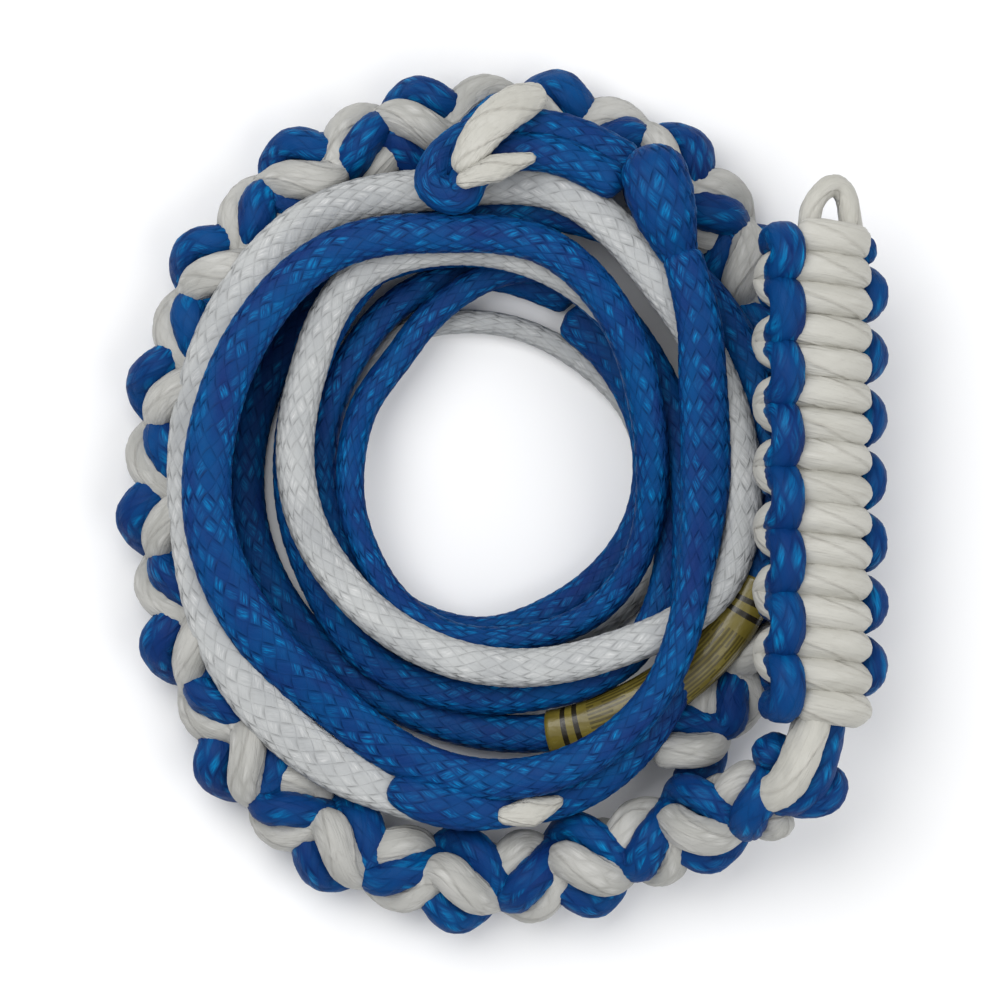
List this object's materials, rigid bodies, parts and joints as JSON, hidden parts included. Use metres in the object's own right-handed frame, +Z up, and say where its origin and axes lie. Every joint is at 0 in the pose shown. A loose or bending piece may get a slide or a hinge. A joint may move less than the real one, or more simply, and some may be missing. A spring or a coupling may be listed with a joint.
{
  "type": "tow rope handle",
  "caption": "Woven rope grip with a tow eye, joined to a thick knotted rope and a coiled hollow-braid tow line tied by its boat loop.",
  "frame": {"origin": "bottom centre of the whole bundle, on the floor it lies on", "axes": "+Z up from the floor; +Y along the grip from its neck to its tow eye; +X from the coil towards the grip"},
  "size_m": [0.2532, 0.2848, 0.0736],
  "materials": {
    "blue_braid": "glossy plaited film yarn",
    "white_braid": "satin plaited yarn",
    "blue_strand": "glossy twisted yarn",
    "white_strand": "soft twisted yarn",
    "sleeve_vinyl": "glossy",
    "sleeve_print": "printed ink"
  },
  "bodies": {
    "coil": {"blue_line_coil": "blue_braid", "blue_line_cut_end": "blue_braid", "blue_line_sleeved_run": "blue_braid", "boat_loop": "blue_braid", "knot_strand_blue_top": "blue_strand", "knot_strand_blue_under": "blue_strand", "knot_strand_white_inner": "white_strand", "knot_strand_white_outer": "white_strand", "label_sleeve": "sleeve_vinyl", "sleeve_bands": "sleeve_print", "splice_sleeve": "blue_braid", "splice_tail": "white_braid", "throat_knot": "blue_braid", "tie_strand": "white_strand", "tie_strand_tail": "white_strand", "white_line_coil": "white_braid", "white_line_crossing": "white_braid"},
    "grip": {"core_leg_blue": "blue_strand", "core_leg_white": "white_strand", "neck_strand_blue": "blue_strand", "neck_strand_white": "white_strand", "wrap_strand_blue": "blue_strand", "wrap_strand_white": "white_strand"},
    "tow_eye": {"tow_eye": "white_strand"}
  },
  "joints": [
    {"name": "grip_lift", "type": "hinge", "parent": "coil", "child": "grip", "pos_m": [0.104, -0.083, 0.0495], "axis": [0.866, 0, -0.5], "range_deg": [0, 70]},
    {"name": "tow_eye_flop", "type": "hinge", "parent": "grip", "child": "tow_eye", "pos_m": [0.104, 0.0931, 0.0495], "axis": [0.866, 0, -0.5], "range_deg": [-45, 60]}
  ]
}
